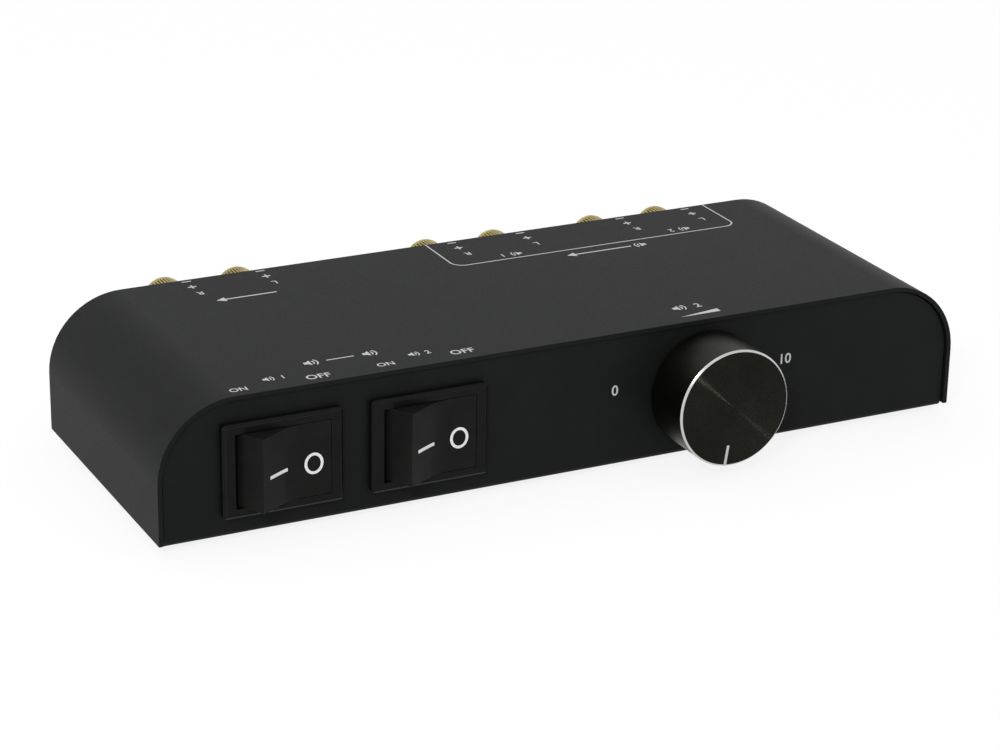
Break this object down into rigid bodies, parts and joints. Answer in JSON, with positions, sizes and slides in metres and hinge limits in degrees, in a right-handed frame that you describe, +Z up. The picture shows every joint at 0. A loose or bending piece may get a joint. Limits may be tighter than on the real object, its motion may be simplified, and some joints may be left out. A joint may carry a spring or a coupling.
{
  "type": "speaker selector switch",
  "caption": "Low bent-metal speaker selector box with rocker switches and a volume knob in front and gold screw-cap binding posts behind.",
  "frame": {"origin": "middle of the overall box at the bottom of the feet", "axes": "+X to the right seen from the front, +Y from the front panel to the rear, +Z up"},
  "size_m": [0.23, 0.1156, 0.0395],
  "materials": {
    "black_anodised": "black anodised, turned face",
    "black_plastic": "fine satin moulded",
    "black_wire": "insulation",
    "brass_bare": "plain",
    "gold_plate": "polished gold plate",
    "phenolic": "paper laminate",
    "post_black_plastic": "moulded",
    "powder_coated_steel": "matt fine powder coat",
    "red_plastic": "moulded",
    "red_wire": "insulation",
    "rubber_black": "matt",
    "steel_plated": "bright zinc plate",
    "tinned_copper": "tin plate",
    "white_paint": "matt fill paint"
  },
  "bodies": {
    "case": {"chassis": "powder_coated_steel", "cover": "powder_coated_steel", "cover_screws": "steel_plated", "rubber_feet": "rubber_black", "switch_1_housing": "black_plastic", "switch_1_terminals": "tinned_copper", "switch_2_housing": "black_plastic", "switch_2_terminals": "tinned_copper", "volume_bushing": "steel_plated", "volume_case": "steel_plated", "volume_elements": "phenolic", "volume_terminals": "tinned_copper", "volume_washer": "steel_plated", "volume_nut": "steel_plated", "post_studs": "gold_plate", "post_collars_red": "red_plastic", "post_collars_black": "post_black_plastic", "post_inner_washers": "post_black_plastic", "post_nuts": "brass_bare", "post_tags": "tinned_copper", "wires_red": "red_wire", "wires_black": "black_wire"},
    "rocker_1": {"switch_1_rocker": "black_plastic", "switch_1_plungers": "brass_bare", "switch_1_springs": "steel_plated"},
    "contact_arms_1": {"switch_1_contact_arms": "brass_bare"},
    "rocker_2": {"switch_2_rocker": "black_plastic", "switch_2_plungers": "brass_bare", "switch_2_springs": "steel_plated"},
    "contact_arms_2": {"switch_2_contact_arms": "brass_bare"},
    "knob": {"knob_shell": "black_anodised", "knob_insert": "black_plastic", "knob_pointer": "white_paint", "volume_shaft": "steel_plated", "volume_wipers": "brass_bare"},
    "ring_1": {"post_ring_1": "post_black_plastic"},
    "cap_1": {"post_cap_1": "gold_plate"},
    "ring_2": {"post_ring_2": "red_plastic"},
    "cap_2": {"post_cap_2": "gold_plate"},
    "ring_3": {"post_ring_3": "post_black_plastic"},
    "cap_3": {"post_cap_3": "gold_plate"},
    "ring_4": {"post_ring_4": "red_plastic"},
    "cap_4": {"post_cap_4": "gold_plate"},
    "ring_5": {"post_ring_5": "post_black_plastic"},
    "cap_5": {"post_cap_5": "gold_plate"},
    "ring_6": {"post_ring_6": "red_plastic"},
    "cap_6": {"post_cap_6": "gold_plate"},
    "ring_7": {"post_ring_7": "post_black_plastic"},
    "cap_7": {"post_cap_7": "gold_plate"},
    "ring_8": {"post_ring_8": "red_plastic"},
    "cap_8": {"post_cap_8": "gold_plate"},
    "ring_9": {"post_ring_9": "post_black_plastic"},
    "cap_9": {"post_cap_9": "gold_plate"},
    "ring_10": {"post_ring_10": "red_plastic"},
    "cap_10": {"post_cap_10": "gold_plate"},
    "ring_11": {"post_ring_11": "post_black_plastic"},
    "cap_11": {"post_cap_11": "gold_plate"},
    "ring_12": {"post_ring_12": "red_plastic"},
    "cap_12": {"post_cap_12": "gold_plate"}
  },
  "joints": [
    {"name": "rocker_1_tilt", "type": "hinge", "parent": "case", "child": "rocker_1", "pos_m": [-0.0825, -0.0371, 0.02], "axis": [0, 0, -1], "range_deg": [0, 30]},
    {"name": "contact_arms_1_tilt", "type": "hinge", "parent": "case", "child": "contact_arms_1", "pos_m": [-0.0825, -0.0244, 0.02], "axis": [0, 0, -1], "range_deg": [-16, 0]},
    {"name": "rocker_2_tilt", "type": "hinge", "parent": "case", "child": "rocker_2", "pos_m": [-0.04275, -0.0371, 0.02], "axis": [0, 0, -1], "range_deg": [0, 30]},
    {"name": "contact_arms_2_tilt", "type": "hinge", "parent": "case", "child": "contact_arms_2", "pos_m": [-0.04275, -0.0244, 0.02], "axis": [0, 0, -1], "range_deg": [-16, 0]},
    {"name": "volume_turn", "type": "hinge", "parent": "case", "child": "knob", "pos_m": [0.0375, -0.0413, 0.02], "axis": [0, 1, 0], "range_deg": [0, 300]},
    {"name": "cap_1_travel", "type": "slide", "parent": "case", "child": "ring_1", "axis": [0, 1, 0], "range_m": [0, 0.005]},
    {"name": "cap_1_turn", "type": "hinge", "parent": "ring_1", "child": "cap_1", "pos_m": [-0.07645, 0.0562, 0.0122], "axis": [0, 1, 0], "range_deg": [0, 1800]},
    {"name": "cap_2_travel", "type": "slide", "parent": "case", "child": "ring_2", "axis": [0, 1, 0], "range_m": [0, 0.005]},
    {"name": "cap_2_turn", "type": "hinge", "parent": "ring_2", "child": "cap_2", "pos_m": [-0.07645, 0.0562, 0.0292], "axis": [0, 1, 0], "range_deg": [0, 1800]},
    {"name": "cap_3_travel", "type": "slide", "parent": "case", "child": "ring_3", "axis": [0, 1, 0], "range_m": [0, 0.005]},
    {"name": "cap_3_turn", "type": "hinge", "parent": "ring_3", "child": "cap_3", "pos_m": [-0.05525, 0.0562, 0.0122], "axis": [0, 1, 0], "range_deg": [0, 1800]},
    {"name": "cap_4_travel", "type": "slide", "parent": "case", "child": "ring_4", "axis": [0, 1, 0], "range_m": [0, 0.005]},
    {"name": "cap_4_turn", "type": "hinge", "parent": "ring_4", "child": "cap_4", "pos_m": [-0.05525, 0.0562, 0.0292], "axis": [0, 1, 0], "range_deg": [0, 1800]},
    {"name": "cap_5_travel", "type": "slide", "parent": "case", "child": "ring_5", "axis": [0, 1, 0], "range_m": [0, 0.005]},
    {"name": "cap_5_turn", "type": "hinge", "parent": "ring_5", "child": "cap_5", "pos_m": [0.00205, 0.0562, 0.0122], "axis": [0, 1, 0], "range_deg": [0, 1800]},
    {"name": "cap_6_travel", "type": "slide", "parent": "case", "child": "ring_6", "axis": [0, 1, 0], "range_m": [0, 0.005]},
    {"name": "cap_6_turn", "type": "hinge", "parent": "ring_6", "child": "cap_6", "pos_m": [0.00205, 0.0562, 0.0292], "axis": [0, 1, 0], "range_deg": [0, 1800]},
    {"name": "cap_7_travel", "type": "slide", "parent": "case", "child": "ring_7", "axis": [0, 1, 0], "range_m": [0, 0.005]},
    {"name": "cap_7_turn", "type": "hinge", "parent": "ring_7", "child": "cap_7", "pos_m": [0.02325, 0.0562, 0.0122], "axis": [0, 1, 0], "range_deg": [0, 1800]},
    {"name": "cap_8_travel", "type": "slide", "parent": "case", "child": "ring_8", "axis": [0, 1, 0], "range_m": [0, 0.005]},
    {"name": "cap_8_turn", "type": "hinge", "parent": "ring_8", "child": "cap_8", "pos_m": [0.02325, 0.0562, 0.0292], "axis": [0, 1, 0], "range_deg": [0, 1800]},
    {"name": "cap_9_travel", "type": "slide", "parent": "case", "child": "ring_9", "axis": [0, 1, 0], "range_m": [0, 0.005]},
    {"name": "cap_9_turn", "type": "hinge", "parent": "ring_9", "child": "cap_9", "pos_m": [0.0551, 0.0562, 0.0122], "axis": [0, 1, 0], "range_deg": [0, 1800]},
    {"name": "cap_10_travel", "type": "slide", "parent": "case", "child": "ring_10", "axis": [0, 1, 0], "range_m": [0, 0.005]},
    {"name": "cap_10_turn", "type": "hinge", "parent": "ring_10", "child": "cap_10", "pos_m": [0.0551, 0.0562, 0.0292], "axis": [0, 1, 0], "range_deg": [0, 1800]},
    {"name": "cap_11_travel", "type": "slide", "parent": "case", "child": "ring_11", "axis": [0, 1, 0], "range_m": [0, 0.005]},
    {"name": "cap_11_turn", "type": "hinge", "parent": "ring_11", "child": "cap_11", "pos_m": [0.0763, 0.0562, 0.0122], "axis": [0, 1, 0], "range_deg": [0, 1800]},
    {"name": "cap_12_travel", "type": "slide", "parent": "case", "child": "ring_12", "axis": [0, 1, 0], "range_m": [0, 0.005]},
    {"name": "cap_12_turn", "type": "hinge", "parent": "ring_12", "child": "cap_12", "pos_m": [0.0763, 0.0562, 0.0292], "axis": [0, 1, 0], "range_deg": [0, 1800]}
  ],
  "couplings": [
    {"joint": "contact_arms_1_tilt", "follows": "rocker_1_tilt", "ratio": -0.5333},
    {"joint": "contact_arms_2_tilt", "follows": "rocker_2_tilt", "ratio": -0.5333},
    {"joint": "cap_1_turn", "follows": "cap_1_travel", "rad_per_m": 6283.2},
    {"joint": "cap_2_turn", "follows": "cap_2_travel", "rad_per_m": 6283.2},
    {"joint": "cap_3_turn", "follows": "cap_3_travel", "rad_per_m": 6283.2},
    {"joint": "cap_4_turn", "follows": "cap_4_travel", "rad_per_m": 6283.2},
    {"joint": "cap_5_turn", "follows": "cap_5_travel", "rad_per_m": 6283.2},
    {"joint": "cap_6_turn", "follows": "cap_6_travel", "rad_per_m": 6283.2},
    {"joint": "cap_7_turn", "follows": "cap_7_travel", "rad_per_m": 6283.2},
    {"joint": "cap_8_turn", "follows": "cap_8_travel", "rad_per_m": 6283.2},
    {"joint": "cap_9_turn", "follows": "cap_9_travel", "rad_per_m": 6283.2},
    {"joint": "cap_10_turn", "follows": "cap_10_travel", "rad_per_m": 6283.2},
    {"joint": "cap_11_turn", "follows": "cap_11_travel", "rad_per_m": 6283.2},
    {"joint": "cap_12_turn", "follows": "cap_12_travel", "rad_per_m": 6283.2}
  ]
}
